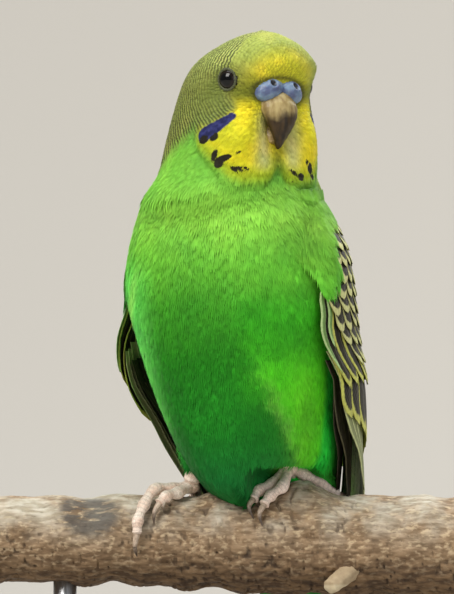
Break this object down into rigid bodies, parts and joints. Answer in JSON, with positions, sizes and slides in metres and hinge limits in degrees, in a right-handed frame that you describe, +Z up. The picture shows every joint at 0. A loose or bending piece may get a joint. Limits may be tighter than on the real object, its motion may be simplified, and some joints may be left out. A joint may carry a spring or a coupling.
{
  "type": "budgerigar model",
  "caption": "Still, life-size budgerigar perched on a cut length of branch, head turned to one side, on a plain display stand.",
  "frame": {"origin": "centre of the base's underside", "axes": "+Z up, X along the branch, the bird looks towards -Y"},
  "size_m": [0.116, 0.108, 0.2033],
  "materials": {
    "plumage": "soft matt green body plumage",
    "mask": "soft matt yellow face and barred nape plumage",
    "wing": "matt flight and covert feathers, dark with pale yellow edges",
    "tail": "matt long feathers, blue-green",
    "eye": "clear gloss over black",
    "cere": "smooth waxy blue skin",
    "beak": "satin horn, tan with a dark lower half",
    "foot": "dry scaly skin, grey-pink",
    "claw": "satin dark horn",
    "bark": "rough weathered bark, pale sawn ends",
    "stand": "dark stained wood, satin lacquer",
    "rod": "brushed"
  },
  "bodies": {
    "root": {"perch": "bark", "stand_base": "stand", "stand_rod_left": "rod", "stand_rod_right": "rod", "head": "mask", "cere": "cere", "beak_upper": "beak", "beak_lower": "beak", "neck": "mask", "torso": "plumage", "tail": "tail", "eye_left": "eye", "wing_left": "wing", "thigh_left": "plumage", "foot_left": "foot", "claw_left_1": "claw", "claw_left_2": "claw", "claw_left_3": "claw", "claw_left_4": "claw", "eye_right": "eye", "wing_right": "wing", "thigh_right": "plumage", "foot_right": "foot", "claw_right_1": "claw", "claw_right_2": "claw", "claw_right_3": "claw", "claw_right_4": "claw"}
  },
  "joints": []
}
